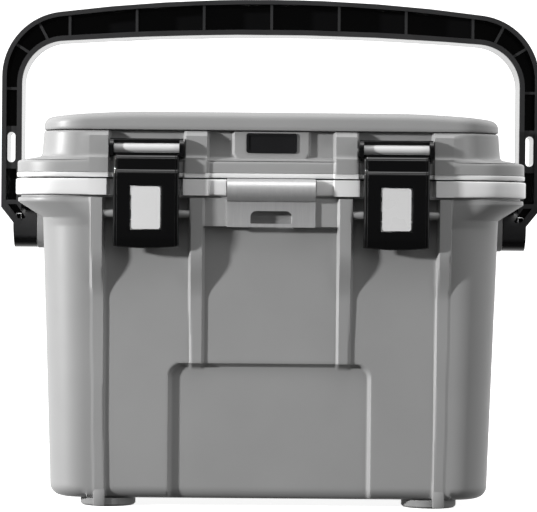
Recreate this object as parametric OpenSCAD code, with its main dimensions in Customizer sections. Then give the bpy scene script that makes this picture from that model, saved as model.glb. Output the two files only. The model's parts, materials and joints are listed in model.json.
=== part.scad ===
// Small hard-sided cooler with a swinging carry handle, a hinged lid and two
// press-and-pull latches. Origin: centre of the base, on the floor.
// +X to the right of the front, +Y to the back, +Z up. Millimetres.

/* [Box] */
// Width of the box wall at the foot of the rim flare
body_w = 366.4; // [300:0.2:420]
// Depth of the box wall at the foot of the rim flare
body_d = 251; // [200:0.5:300]
// Draft: how much narrower the box is at the bottom, each side
draft_x = 7; // [0:0.5:12]
// Draft front and back, each side
draft_y = 7.8; // [0:0.2:12]
// Wall thickness of the outer shells
wall = 3; // [2:0.5:5]
// Height of the parting line between base and lid
part_z = 262; // [200:1:300]
// Clear width of the tub at its mouth
tub_w = 296; // [240:1:310]
// Clear depth of the tub at its mouth
tub_d = 190; // [150:1:200]
// Height inside the tub
tub_h = 234; // [180:1:240]

/* [Rim] */
// Width over the rim band
rim_w = 410.6; // [380:0.2:412]
// Depth over the rim band
rim_d = 265; // [255:0.5:268]
// Corner radius of the rim band in plan
rim_r = 40; // [25:1:45]

/* [Lid] */
// Height where the lid wall ends and the cap seam begins
seam_z = 299.4; // [295:0.2:303]
// Height of the cap's crown
crown_z = 314.9; // [312:0.2:320]
// Height of the cap at its two ends
cap_end_z = 310.3; // [305:0.1:312]
// Width of the cap
cap_w = 364.8; // [340:0.2:366]
// Depth of the cap
cap_d = 261; // [240:0.5:262]

/* [Latches] */
// Distance of each latch from the middle
latch_x = 98.8; // [90:0.1:105]
// Width of a latch lever
lever_w = 52; // [40:0.5:54]
// Width of the release button
button_w = 22.8; // [18:0.2:26]
// Height of the latch pivot
latch_pivot_z = 286; // [282:0.1:288]

/* [Handle] */
// Width over the handle
handle_w = 448; // [440:1:460]
// Height of the handle's top when upright
handle_top = 413.4; // [400:0.2:430]
// Depth of the handle's flanges
handle_d = 38; // [30:1:40]
// Height of the handle pivot
pivot_z = 224.7; // [220:0.1:228]

/* [Feet] */
// Height of the feet
foot_h = 6.5; // [4:0.5:10]
// Radius of each foot
foot_r = 22; // [15:1:30]

/* [Hidden] */
$fn = 64;

grey = [0.60, 0.60, 0.60];
pale = [0.86, 0.86, 0.86];
black = [0.06, 0.06, 0.06];
steel = [0.75, 0.75, 0.76];
foam = [0.93, 0.90, 0.78];
rubber = [0.15, 0.15, 0.15];
white = [0.95, 0.95, 0.95];

flare_z0 = 230.3; // foot of the rim flare
flare_knee = 243; // where the flare's slope ends and its upright edge begins
flare_z1 = 246.4; // top of the rim flare
flare_w = 407;
flare_d = 262;
lip_z = 248.4; // top of the shell, bottom of the rim band
lip_w = 402; // the shell's edge inside the rim band
lip_d = 260;
rim_z = 261.3; // top of the rim band
shelf_z = 258.3; // top of the tub's flange
lid_z = 262.5; // lowest face of the lid band
lid_band_z = 266.3; // top of the lid band
lid_ledge_z = 276; // top of the lid's flange wall
lid_wall_z = 279.3; // foot of the lid's upper wall
cap_z = seam_z + 0.8; // foot of the cap
body_r = 35;
floor_z = foot_h + 4; // inside of the shell's bottom
tub_z = shelf_z - tub_h;
hub_r = 19.5; // pivot hub on each side
hub_x = 194; // outer face of the hub
boss_r = 19; // pivot boss of the handle
boss_x = 194.7; // inner face of the handle boss
arm_x = 207.3; // inner face of the handle arms
latch_y = -133; // latch pivot
hinge_y = 140; // lid hinge
recess_half = 147.8; // half width of the set-back front of the lid
hinge_z = part_z;
hinge_x = 95;
block_screw_z = 253.2; // screws of the hinge blocks
strap_screw_z = 270; // screws of the hinge straps
latch_screw_z = 281.7; // screws of the latch brackets
bolt_r = 5;
pin_r = 2; // latch pins
hinge_pin_r = 2.2;
pin_gap = 0.05; // running fit on radius
fixed_gap = 0.03; // clearance round fixed pins and screws
screw_r = 1.6;
head_r = 3.2;
wall_front = body_d / 2; // front wall at the foot of the flare
rib_front = 134; // front of the upper ribs
rib_step = 2.2; // how far the ribs stand out low on the wall
outer_rib = [132.2, 144.8];
inner_rib = [53.2, 65.2];
keeper_x = [62.2, 135.4]; // hole for a keeper bar through the ribs
apron_y = 132; // front of the apron behind the steel plate
bay_y = 126.3; // wall at the back of the latch bays
bottom_r = 10; // rounding round the bottom of the shell
panel_w = 159.2; // sunk panel low on the front
panel_top = 114;
panel_depth = 4;
lever_back = -134.8;
ear_w = 3.1; // width of each ear of the latch yoke
button_pin_y = -139.5;
button_pin_z = 228;
keeper_y = -130;
keeper_z = 233.6;
keeper_r = 3.2;
rivet_x = [-27, 27];
rivet_z = [229.5, 240];
slot_w = 33;
slot_x = 216; // middle of each strap slot in the handle's arms
slot_z = 231.5;
slot_h = 10;

foot_at = [129, 95];
roof_screw = [179, 66]; // screws that hold the lid liner

// distance of the drafted front wall from the middle, at height z
function wall_y(z) =
  wall_front - draft_y * (flare_z0 - z) / (flare_z0 - foot_h - bottom_r);

// ---- shapes used by several parts ----

// a rectangle with round corners
module rounded(w, d, r) {
  square([w - 2 * r, d], center = true);
  square([w, d - 2 * r], center = true);
  for (x = [-1, 1], y = [-1, 1])
    translate([x * (w / 2 - r), y * (d / 2 - r)]) circle(r);
}

// an upright prism on that rectangle from z0 to z1
module slab(w, d, r, z0, z1) {
  translate([0, 0, z0]) linear_extrude(z1 - z0) rounded(w, d, r);
}

// four thin discs at the corners of such a rectangle, for a hull
module corner_discs(w, d, r, z) {
  for (x = [-1, 1], y = [-1, 1])
    translate([x * (w / 2 - r), y * (d / 2 - r), z]) cylinder(r = r, h = 0.02, $fn = 32);
}

// four rounded corners standing on z, for a hull
module corner_rounds(w, d, r, edge, z) {
  for (x = [-1, 1], y = [-1, 1])
    translate([x * (w / 2 - r), y * (d / 2 - r), z + edge])
      rotate_extrude($fn = 32)
        translate([r - edge, 0])
          intersection() {
            circle(edge, $fn = 24);
            translate([0, -edge]) square([edge, edge]);
          }
}

// side view (y, z) drawn across from x0 to x1
module across(x0, x1) {
  translate([x0, 0, 0]) rotate([90, 0, 90]) linear_extrude(x1 - x0) children();
}

// front view (x, z) drawn through from y0 to y1
module through(y0, y1) {
  translate([0, y1, 0]) rotate([90, 0, 0]) linear_extrude(y1 - y0) children();
}

// a round bar along X
module bar_x(x0, x1, y, z, r) {
  translate([x0, y, z]) rotate([0, 90, 0]) cylinder(r = r, h = x1 - x0);
}

// a box given by its two corners
module block(low, high) {
  translate(low) cube(high - low);
}

// right-hand parts as drawn, left-hand parts mirrored
module on_side(side) {
  if (side > 0) children();
  else mirror([1, 0, 0]) children();
}

// a bar along Y
module bar_y(x, y0, y1, z, r) {
  translate([x, y0, z]) rotate([-90, 0, 0]) cylinder(r = r, h = y1 - y0);
}

// an upright bar
module cylinder_from(z0, z1, r) {
  translate([0, 0, z0]) cylinder(r = r, h = z1 - z0);
}

// a rectangle in a side or front view, given by two corners
module square_at(x0, y0, x1, y1) {
  translate([x0, y0]) square([x1 - x0, y1 - y0]);
}

// the four feet, or what stands over them
module at_feet() {
  for (x = [-1, 1], y = [-1, 1])
    translate([x * foot_at[0], y * foot_at[1], 0]) children();
}

// a layer that follows the drafted front wall
module front_layer(x0, x1, z0, z1, inside, outside) {
  across(x0, x1)
    polygon([
      [-wall_y(z0) + inside, z0],
      [-wall_y(z0) - outside, z0],
      [-wall_y(z1) - outside, z1],
      [-wall_y(z1) + inside, z1]
    ]);
}

// ---- base ----

// drafted tub shape, smaller by inset all round
module drafted_body(inset, z0, edge) {
  low_w = body_w - 2 * draft_x - 2 * inset;
  low_d = body_d - 2 * draft_y - 2 * inset;
  hull() {
    corner_discs(body_w - 2 * inset, body_d - 2 * inset, body_r - inset, flare_z0);
    corner_rounds(low_w, low_d, body_r - 6 - inset, edge, z0);
  }
}

// flare that widens the walls up to the rim
module rim_flare(inset) {
  hull() {
    corner_discs(body_w - 2 * inset, body_d - 2 * inset, body_r - inset, flare_z0);
    corner_discs(flare_w - 2 * inset, flare_d - 2 * inset, rim_r - 1 - inset, flare_knee);
  }
  slab(flare_w - 2 * inset, flare_d - 2 * inset, rim_r - 1 - inset, flare_knee, flare_z1);
}

// front view of the bays behind the latches and behind the slot of the plate
module bays() {
  for (side = [-1, 1])
    on_side_2d(side) square_at(inner_rib[1], flare_z0, outer_rib[0], lip_z + 1);
  square_at(-slot_w / 2 - 1, 222, slot_w / 2 + 1, 240);
}

module on_side_2d(side) {
  if (side > 0) children();
  else mirror([1, 0]) children();
}

// back of a rib or the apron, from the top down, lying on the wall
function wall_line(low) = [
  [-flare_d / 2 - fixed_gap, flare_z1],
  [-flare_d / 2 - fixed_gap, flare_knee],
  [-wall_front - fixed_gap, flare_z0],
  [-wall_y(low) - fixed_gap, low]
];

// back of an outer rib round the shell's lower edge, and down past the foot
function lower_edge() = [
  for (lean = [15 : 15 : 75])
    [-wall_y(foot_h + bottom_r) + bottom_r * (1 - cos(lean)) - 0.2,
     foot_h + bottom_r * (1 - sin(lean))]
];

// a front rib: shallow below, standing out under the rim
module front_rib(rib, low) {
  step_z = 168.6;
  full_z = 205.8;
  reaches_floor = low < foot_h;
  leg_back = -foot_at[1] - foot_r - 0.4;
  wall_low = reaches_floor ? foot_h + bottom_r : low;
  leg = reaches_floor ? concat(lower_edge(), [[leg_back, foot_h + 0.3], [leg_back, low]]) : [];
  across(rib[0], rib[1])
    polygon(concat(
      [[-rib_front, flare_z1]],
      wall_line(wall_low),
      leg,
      [
        [-wall_y(low) - rib_step, low],
        [-wall_y(step_z) - rib_step, step_z],
        [-rib_front, full_z]
      ]
    ));
}

module front_ribs() {
  color(grey)
    for (side = [-1, 1]) on_side(side)
      difference() {
        union() {
          front_rib(outer_rib, 0.6);
          front_rib(inner_rib, panel_top);
        }
        bar_x(keeper_x[0], keeper_x[1], keeper_y, keeper_z, keeper_r + fixed_gap);
      }
}

// raised field that carries the steel plate, notched behind the plate's slot
module front_apron() {
  low = 223.5;
  color(grey)
    difference() {
      across(-inner_rib[0], inner_rib[0])
        polygon(concat([[-apron_y, flare_z1]], wall_line(low - 1), [[-apron_y, low]]));
      through(-150, -100) bays();
      for (x = rivet_x, z = rivet_z) bar_y(x, -apron_y - 1, -124.9, z, screw_r + fixed_gap);
    }
}

// outline of the sunk front panel, open at the bottom
module panel_outline(grow) {
  half = panel_w / 2 + grow;
  top = panel_top + grow;
  radius = 11;
  translate([-half, 0]) square([2 * half, top - radius]);
  translate([-half + radius, 0]) square([2 * half - 2 * radius, top]);
  for (side = [-1, 1])
    translate([side * (half - radius), top - radius]) circle(radius);
}

module sunk_panel() {
  intersection() {
    through(-140, -60) panel_outline(0);
    front_layer(-100, 100, foot_h + 3, panel_top, panel_depth, 20);
  }
}

module panel_backing() {
  intersection() {
    through(-140, -60) panel_outline(4);
    front_layer(-100, 100, foot_h + 3.5, panel_top + 4, panel_depth + wall, -1.5);
  }
}

module outer_shell() {
  color(grey)
    difference() {
      union() {
        drafted_body(0, foot_h, bottom_r);
        rim_flare(0);
        slab(lip_w, lip_d, rim_r - 2, flare_z1, lip_z);
      }
      drafted_body(wall, floor_z, 8);
      rim_flare(wall);
      slab(lip_w - 2 * wall, lip_d - 2 * wall, rim_r - 2 - wall, flare_z1 - 0.1, lip_z + 1);
      for (side = [-1, 1]) on_side(side) {
        bar_x(170, 200, 0, pivot_z, hub_r + 0.1);
        bar_x(hub_x - 1, 230, 0, pivot_z, boss_r + 2.2);
        bar_x(keeper_x[0], keeper_x[1], keeper_y, keeper_z, keeper_r + fixed_gap);
      }
      sunk_panel();
      through(-150, -bay_y) bays();
      for (x = rivet_x, z = rivet_z) bar_y(x, -apron_y - 1, -124.9, z, screw_r + fixed_gap);
      at_feet() cylinder(r = 2.1, h = 20);
    }
  color(grey) difference() {
    panel_backing();
    sunk_panel();
  }
  color(grey) through(-bay_y, -bay_y + wall) bay_backing();
}

// inner wall behind the latch bays and the slot
module bay_backing() {
  for (side = [-1, 1])
    on_side_2d(side) square_at(inner_rib[1] - wall, flare_z0 - 2, outer_rib[0] + wall, lip_z);
  half = slot_w / 2 + 1 + wall;
  square_at(-half, flare_z0 + 2, half, flare_knee);
}

// outside of the tub, grown by grow
module tub_solid(grow) {
  top_w = tub_w + 2 * grow;
  top_d = tub_d + 2 * grow;
  hull() {
    corner_discs(top_w, top_d, 28 + grow, shelf_z - 0.02);
    corner_rounds(top_w - 12, top_d - 12, 24 + grow, 10 + grow / 2, tub_z - grow);
  }
}

module inner_liner() {
  color(white)
    difference() {
      union() {
        tub_solid(2.5);
        slab(391, 241, 30, shelf_z - 3, shelf_z);
      }
      tub_solid(0);
      slab(tub_w - 2, tub_d - 2, 27, shelf_z - 1, shelf_z + 1);
    }
}

module base_foam() {
  gap = 0.3;
  color(foam)
    difference() {
      union() {
        drafted_body(wall + gap, floor_z + gap, 8);
        rim_flare(wall + gap);
        slab(390, 240, 30, flare_z1 - 1, shelf_z - 3 - gap);
      }
      tub_solid(2.5 + gap);
      for (side = [-1, 1]) on_side(side) bar_x(170, 210, 0, pivot_z, 25);
      block([-90, -140, 0], [90, -wall_y(30) + 14, panel_top + 8]);
      block([-60, -150, slot_z - 8], [60, -121, lip_z - 1]);
      for (side = [0, 1])
        mirror([side, 0, 0]) block([48, -150, foot_h], [150, -121.5, lip_z - 0.5]);
      at_feet() cylinder(r = 8, h = 21);
    }
}

module rim_frame() {
  color(pale)
    difference() {
      union() {
        slab(rim_w, rim_d, rim_r, lip_z, rim_z);
        for (side = [0, 1])
          mirror([side, 0, 0]) {
            block([129.6, -134.5, lip_z], [150.4, -125, rim_z]);
            block([49.4, -134.5, lip_z], [70.2, -125, rim_z]);
          }
      }
      slab(392, 242, 30, lip_z - 1, shelf_z);
      slab(380, 231, 26, lip_z - 1, rim_z + 1);
      for (side = [0, 1])
        mirror([side, 0, 0]) block([70.2, -140, lip_z - 1], [129.6, -127, rim_z + 1]);
      block([-35.4, -140, lip_z - 1], [35.4, -130.6, rim_z + 1]);
      at_hinge_screws(block_screw_z) bar_y(0, 110, 140, 0, screw_r + fixed_gap);
    }
}

// the places of the screws in the hinge parts, at height z
module at_hinge_screws(z) {
  for (side = [-1, 1], x = [-20, 20]) translate([side * hinge_x + x, 0, z]) children();
}

// bent steel plate with a rolled top edge and a cap-lifting slot
module lock_plate() {
  roll_r = 9.15;
  sheet = 2;
  roll_z = 252.85;
  color(steel)
    difference() {
      across(-35, 35) {
        difference() {
          translate([-rib_front + sheet, roll_z]) circle(roll_r);
          translate([-rib_front + sheet, roll_z]) circle(roll_r - sheet);
          square_at(-rib_front + sheet, 240, -100, 270);
        }
        square_at(-rib_front, 223.7, -rib_front + sheet, roll_z - roll_r + sheet);
        square_at(-rib_front + sheet, roll_z + roll_r - sheet, -130.7, roll_z + roll_r);
      }
      through(-150, -100) slot_outline();
    }
}

// slot with a broad round top and tight lower corners
module slot_outline() {
  low = slot_z - slot_h / 2;
  intersection() {
    translate([0, low]) square([slot_w, 2 * slot_h], center = true);
    union() {
      translate([-slot_w / 2 + 1, low]) square([slot_w - 2, slot_h / 2]);
      translate([-slot_w / 2, low + 1]) square([slot_w, slot_h / 2 - 1]);
      for (side = [-1, 1])
        translate([side * (slot_w / 2 - 1), low + 1]) circle(1);
      for (side = [-1, 1])
        translate([side * (slot_w / 2 - slot_h / 2), slot_z]) circle(slot_h / 2);
      translate([-slot_w / 2 + slot_h / 2, slot_z])
        square([slot_w - slot_h, slot_h / 2]);
    }
  }
}

module lock_plate_rivets() {
  color(steel)
    for (x = rivet_x, z = rivet_z) bar_y(x, -apron_y + 0.02, -125, z, screw_r);
}

module foot(x, y) {
  color(rubber)
    translate([x * foot_at[0], y * foot_at[1], 0])
      difference() {
        union() {
          cylinder(r1 = foot_r - 1.5, r2 = foot_r, h = 1.5);
          translate([0, 0, 1.5]) cylinder(r = foot_r, h = foot_h - 1.5);
        }
        translate([0, 0, -1]) cylinder(r = 5, h = 3.6);
        cylinder(r = 2.1, h = 20);
      }
}

module foot_screws() {
  color(steel)
    at_feet() {
      cylinder_from(0.8, 2.6, 4.4);
      cylinder_from(2.6, 17.5, 2);
    }
}

module keeper_bar(side) {
  color(grey) on_side(side) bar_x(keeper_x[0] + 0.2, keeper_x[1] - 0.2, keeper_y, keeper_z, keeper_r);
}

module pivot_hub(side) {
  color(grey)
    on_side(side)
      difference() {
        union() {
          bar_x(176, hub_x, 0, pivot_z, hub_r);
          bar_x(172.4, 176.8, 0, pivot_z, 24);
        }
        bar_x(170, hub_x + 1, 0, pivot_z, bolt_r + fixed_gap);
      }
}

module pivot_bolt(side) {
  color(steel)
    on_side(side)
      difference() {
        union() {
          bar_x(173, 209, 0, pivot_z, bolt_r);
          bar_x(208.7, 212.2, 0, pivot_z, 9);
        }
        bar_x(210.2, 213, 0, pivot_z, 3.4);
      }
}

module pivot_washer(side) {
  color(steel)
    on_side(side)
      difference() {
        bar_x(hub_x, hub_x + 0.4, 0, pivot_z, 14);
        bar_x(hub_x - 1, hub_x + 1, 0, pivot_z, bolt_r + fixed_gap);
      }
}

// hinge block on the back of the rim: two knuckles on one plate
module hinge_block(side) {
  color(black)
    on_side(side)
      difference() {
        union() {
          across(hinge_x - 30, hinge_x + 30)
            polygon([[132.5, 249.4], [136.5, 249.4], [140, 252], [140, 256.2], [132.5, 256.2]]);
          for (x = [hinge_x - 30, hinge_x + 10.2])
            across(x, x + 19.8) {
              polygon([[132.5, 250], [138, 250.6], [144, 259], [136.4, 261.3], [132.5, 261.3]]);
              translate([hinge_y, hinge_z]) circle(5);
            }
        }
        bar_x(hinge_x - 40, hinge_x + 40, hinge_y, hinge_z, hinge_pin_r);
        for (x = [-20, 20]) {
          bar_y(hinge_x + x, 120, 150, block_screw_z, screw_r + fixed_gap);
          bar_y(hinge_x + x, 138, 150, block_screw_z, head_r + 0.1);
        }
      }
}

module hinge_block_screws() {
  color(steel)
    at_hinge_screws(block_screw_z) {
      bar_y(0, 122, 138, 0, screw_r);
      bar_y(0, 138, 139.8, 0, head_r);
    }
}

module hinge_pin(side) {
  color(steel) on_side(side) bar_x(hinge_x - 29.5, hinge_x + 29.5, hinge_y, hinge_z, hinge_pin_r);
}

// ---- lid ----

module lid_trim() {
  color(pale)
    difference() {
      union() {
        slab(409, 263, rim_r - 1, lid_z, lid_band_z);
        for (side = [0, 1])
          mirror([side, 0, 0]) {
            block([129, -133, lid_z], [149, -125, lid_band_z]);
            block([49.8, -133, lid_z], [69.6, -125, lid_band_z]);
          }
      }
      slab(392, 244, 32, lid_z - 1, lid_band_z + 1);
    }
}

// a pillar that frames a latch, on the lid's front
module lid_pillar(x0, x1) {
  top = seam_z;
  across(x0, x1)
    polygon([
      [-133.5, lid_band_z],
      [-133.5, lid_wall_z],
      [-132, lid_wall_z + 1.5],
      [-132, top - 3],
      [-129, top],
      [-122.5, top],
      [-122.5, lid_ledge_z],
      [-130, lid_ledge_z],
      [-130, lid_band_z]
    ]);
}

// the front of the lid between its outer pillars, set back from the corners
module lid_recess() {
  across(-recess_half, recess_half)
    polygon([
      [-140, lid_ledge_z],
      [-131.5, lid_ledge_z],
      [-124, lid_wall_z],
      [-124, cap_z],
      [-140, cap_z]
    ]);
}

module lid_shell() {
  color(grey)
    difference() {
      union() {
        slab(408, 263, rim_r - 1, lid_band_z, lid_ledge_z);
        difference() {
          union() {
            hull() {
              corner_discs(408, 263, rim_r - 1, lid_ledge_z);
              corner_discs(368, 261.6, 34, lid_wall_z);
            }
            hull() {
              corner_discs(368, 261.6, 34, lid_wall_z - 1);
              corner_discs(365.2, 260, 33, seam_z - 0.02);
            }
          }
          lid_recess();
        }
        slab(357, 241, 30, seam_z - 1, cap_z);
        for (side = [0, 1])
          mirror([side, 0, 0]) {
            lid_pillar(128.4, recess_half);
            lid_pillar(50, 69.2);
          }
        block([-30, -127, lid_wall_z - 2], [30, -123, seam_z]);
      }
      slab(402, 257, rim_r - 4, lid_band_z - 1, lid_ledge_z);
      difference() {
        slab(358.6, 254, 30, lid_band_z, seam_z - wall);
        block([-recess_half - wall, -130, lid_ledge_z - 1], [recess_half + wall, -121, seam_z]);
        at_roof_screws() cylinder_from(265, 290, 3.8);
      }
      through(-130, -126) plate_outline(0.3);
      at_hinge_screws(strap_screw_z) bar_y(0, 120, 140, 0, screw_r + fixed_gap);
      at_latch_screws() bar_y(0, -126, -118, 0, screw_r + fixed_gap);
    }
  color(grey)
    difference() {
      at_roof_screws() cylinder_from(lid_z + 2.9, lid_ledge_z + 1, 3.8);
      at_roof_screws() cylinder_from(lid_z, 272, screw_r + fixed_gap);
    }
}

module at_roof_screws() {
  for (x = [-1, 1], y = [-1, 0, 1]) translate([x * roof_screw[0], y * roof_screw[1], 0]) children();
}

module at_latch_screws() {
  for (side = [-1, 1], x = [-15, 15]) translate([side * latch_x + x, 0, latch_screw_z]) children();
}

// rounded outline of the blank plate on the lid
module plate_outline(grow) {
  translate([0, 290.35]) rounded(40.2 + 2 * grow, 15.7 + 2 * grow, 2 + grow);
}

module lid_cap() {
  color(grey)
    difference() {
      cap_solid(0);
      cap_solid(wall);
    }
}

// crowned top: low ends, flat crown between
module cap_solid(inset) {
  edge = 7 - inset / 2;
  crown_r = 7;
  crown_setback = 2;
  crown_y = cap_d / 2 - inset - crown_r - crown_setback;
  radius = 34 - inset;
  low = inset > 0 ? cap_z - 1 : cap_z;
  hull() {
    corner_discs(cap_w - 2 * inset, cap_d - 2 * inset, radius, low);
    translate([0, 0, 2 * (cap_end_z - inset)]) mirror([0, 0, 1])
      corner_rounds(cap_w - 2 * inset, cap_d - 2 * inset, radius, edge, cap_end_z - inset);
    for (x = [-110, 110], y = [-1, 1])
      translate([x, y * crown_y, crown_z - inset - crown_r])
        rotate([0, 90, 0]) cylinder(r = crown_r, h = 1, center = true, $fn = 32);
  }
}

module lid_liner() {
  color(white)
    difference() {
      union() {
        slab(384, 236, 28, lid_z, lid_z + 2.8);
        slab(tub_w - 12, tub_d - 12, 24, lid_z - 8, lid_z);
      }
      slab(tub_w - 18, tub_d - 18, 21, lid_z - 5, lid_z + 3);
      at_roof_screws() cylinder_from(lid_z - 1, lid_z + 4, screw_r + fixed_gap);
    }
}

module lid_foam() {
  color(foam)
    difference() {
      union() {
        slab(tub_w - 18.6, tub_d - 18.6, 20, lid_z - 4.7, lid_z + 3.5);
        slab(390, 242, 30, lid_z + 3.1, lid_band_z + 0.5);
        slab(401.4, 256.4, 35, lid_band_z + 0.3, lid_ledge_z - 0.3);
        slab(358, 241.4, 29, lid_ledge_z - 1, seam_z - wall - 0.3);
      }
      at_roof_screws() cylinder_from(lid_z, seam_z, 4.1);
      at_latch_screws() bar_y(0, -125, -117, 0, head_r + 0.5);
      at_hinge_screws(strap_screw_z) bar_y(0, 115, 135, 0, head_r);
    }
}

module lid_gasket() {
  color(rubber)
    difference() {
      slab(336, 222, 36, shelf_z + 0.3, lid_z);
      slab(324, 210, 30, shelf_z, lid_z + 1);
    }
}

module lid_liner_screws() {
  color(steel)
    at_roof_screws() {
      cylinder_from(lid_z - 1.6, lid_z, head_r);
      cylinder_from(lid_z, 271, screw_r);
    }
}

module name_plate() {
  color(black)
    difference() {
      through(-127.9, -126.02) plate_outline(0);
      through(-129, -127.2) plate_outline(-1.8);
    }
}

// pale sleeve and foot that carry a latch pivot
module latch_bracket(side) {
  half = 25.8;
  color(pale)
    on_side(side)
      difference() {
        across(latch_x - half, latch_x + half) {
          translate([latch_y, latch_pivot_z]) circle(3.8);
          polygon([
            [latch_y - 1.5, latch_pivot_z - 3.4],
            [latch_y + 1.5, lid_wall_z + 0.3],
            [-124, lid_wall_z + 0.3],
            [-124, latch_pivot_z - 2.2],
            [latch_y + 2.8, latch_pivot_z - 2.2]
          ]);
        }
        bar_x(latch_x - 30, latch_x + 30, latch_y, latch_pivot_z, pin_r);
        for (x = [-15, 15]) bar_y(latch_x + x, -129.2, -120, latch_screw_z, screw_r + fixed_gap);
      }
}

module latch_bracket_screws() {
  color(steel)
    at_latch_screws() {
      bar_y(0, -129, -121, 0, screw_r);
      bar_y(0, -121, -119.6, 0, head_r);
    }
}

module latch_pin(side) {
  color(steel)
    on_side(side)
      bar_x(latch_x - 28.8, latch_x + 28.8, latch_y, latch_pivot_z, pin_r);
}

// hinge strap on the back of the lid: a plate with the middle knuckle
module hinge_strap(side) {
  color(black)
    on_side(side)
      difference() {
        union() {
          block([hinge_x - 30, 131.5, 263.2], [hinge_x + 30, 134.1, 275.4]);
          across(hinge_x - 9.8, hinge_x + 9.8) {
            translate([hinge_y, hinge_z]) circle(5);
            polygon([[132, 264], [138, 261], [143, 265.6], [134.1, 274.6], [132, 274.6]]);
          }
        }
        bar_x(hinge_x - 40, hinge_x + 40, hinge_y, hinge_z, hinge_pin_r + pin_gap);
        for (x = [-20, 20]) {
          bar_y(hinge_x + x, 120, 150, strap_screw_z, screw_r + fixed_gap);
          bar_y(hinge_x + x, 133.2, 150, strap_screw_z, head_r + 0.1);
        }
      }
}

module hinge_strap_screws() {
  color(steel)
    at_hinge_screws(strap_screw_z) {
      bar_y(0, 119, 133.2, 0, screw_r);
      bar_y(0, 133.2, 134, 0, head_r);
    }
}

// ---- handle ----

// outline of an arch: half width, top height, crown radius, corner radius
module arch(half, top, crown_r, corner_r) {
  cx = half - corner_r;
  crown_c = top - crown_r;
  cz = crown_c + sqrt(pow(crown_r - corner_r, 2) - cx * cx);
  lean = asin(cx / (crown_r - corner_r));
  far = 3 * corner_r;
  square_at(-half, 190, half, cz);
  for (side = [-1, 1]) translate([side * cx, cz]) circle(corner_r);
  intersection() {
    translate([0, crown_c]) circle(crown_r, $fn = 720);
    polygon([
      [-cx, cz - 1],
      [cx, cz - 1],
      [cx, cz],
      [cx + far * sin(lean), cz + far * cos(lean)],
      [-cx - far * sin(lean), cz + far * cos(lean)],
      [-cx, cz]
    ]);
  }
}

module outer_arch(inset) {
  arch(handle_w / 2 - inset, handle_top - inset, 1340 - inset, 54.6 - inset);
}

module inner_arch(grow) {
  arch(arm_x + grow, 384.2 + grow, 2326 + grow, 36 + grow);
}

// the space between the arches, down to the bottom of the arms
module handle_section() {
  difference() {
    outer_arch(0);
    inner_arch(0);
  }
}

// stiffening ribs in the hollow of the handle, seen from the front
module handle_ribs() {
  thick = 2.2;
  for (x = [-168, -112.2, -56.3, 0, 56.3, 112.2, 168])
    square_at(x - thick / 2, 380, x + thick / 2, 414);
  for (side = [-1, 1], lean = [28, 58])
    translate([side * 170, 348])
      rotate(-side * lean) square_at(-thick / 2, 0, thick / 2, 70);
  for (side = [-1, 1]) {
    square_at(side * slot_x - 10, 337.7 - thick / 2, side * slot_x + 10, 337.7 + thick / 2);
    square_at(side * slot_x - 10, 271, side * slot_x + 10, 306.5);
  }
}

// lower end of an arm, which leans in from the arm to the boss
module lower_arm() {
  square_at(arm_x, 226, 213.7, 245);
  polygon([
    [handle_w / 2, 245],
    [handle_w / 2, 239],
    [213.6, 226],
    [213.6, 245]
  ]);
}

// its narrower inner side, which passes over the flare
module inner_arm() {
  polygon([[arm_x + 0.1, 226], [203, 226], [199.8, 232], [arm_x, 243], [arm_x + 0.1, 243]]);
}

// pocket in each face of the lower arm
module lower_pocket() {
  polygon([[211.2, 241.4], [218.6, 241.4], [209.6, 229.4], [204.6, 229.4], [203.8, 230.6]]);
}

module handle_frame() {
  half = handle_d / 2;
  web = 2;
  color(black)
    difference() {
      union() {
        intersection() {
          union() {
            through(-web, web) handle_section();
            through(-half, half)
              difference() {
                outer_arch(0);
                outer_arch(3.7);
              }
            through(-half, half)
              difference() {
                inner_arch(4.2);
                inner_arch(0);
              }
            through(-half + web, half - web)
              intersection() {
                handle_section();
                handle_ribs();
              }
          }
          block([-230, -half, 243.8], [230, half, 420]);
        }
        for (side = [-1, 1]) on_side(side) {
          through(-half, half) lower_arm();
          through(-13, 13) inner_arm();
          bar_x(boss_x, 213.6, 0, pivot_z, boss_r);
        }
      }
      for (side = [-1, 1]) on_side(side) {
        through(web, 30) lower_pocket();
        through(-30, -web) lower_pocket();
        bar_x(190, 230, 0, pivot_z, bolt_r + pin_gap);
        bar_x(208.4, 230, 0, pivot_z, 9.5);
        through(-30, 30) tie_slot();
      }
    }
}

// slot through an arm for a tie-down strap
module tie_slot() {
  half = 3.3;
  square_at(slot_x - half, 276.3 + half, slot_x + half, 301.5 - half);
  for (z = [276.3 + half, 301.5 - half]) translate([slot_x, z]) circle(half);
}

module pivot_cap(side) {
  color(black)
    on_side(side)
      difference() {
        bar_x(212.6, 214.6, 0, pivot_z, 9.46);
        bar_x(214, 216, 0, pivot_z, 3);
      }
}

// ---- latches ----

// outside line of the lever in side view, from its top to the toe
module lever_side(inset) {
  polygon([
    [-140.6 + inset, 281.8],
    [-141 + inset, 279.1],
    [-143 + inset, 278.6],
    [-143 + inset, 268],
    [-145 + inset, 267.4],
    [-145 + inset, 226],
    [-143.6 + inset, 214],
    [-140 + inset, 206],
    [lever_back, 206],
    [lever_back, 277],
    [-136.6, 281.8]
  ]);
}

// lever outline from the front, with a softly curved toe
module lever_front() {
  intersection() {
    square_at(-lever_w / 2, 200, lever_w / 2, 284);
    translate([0, 418.4]) circle(211, $fn = 240);
  }
}

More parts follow.
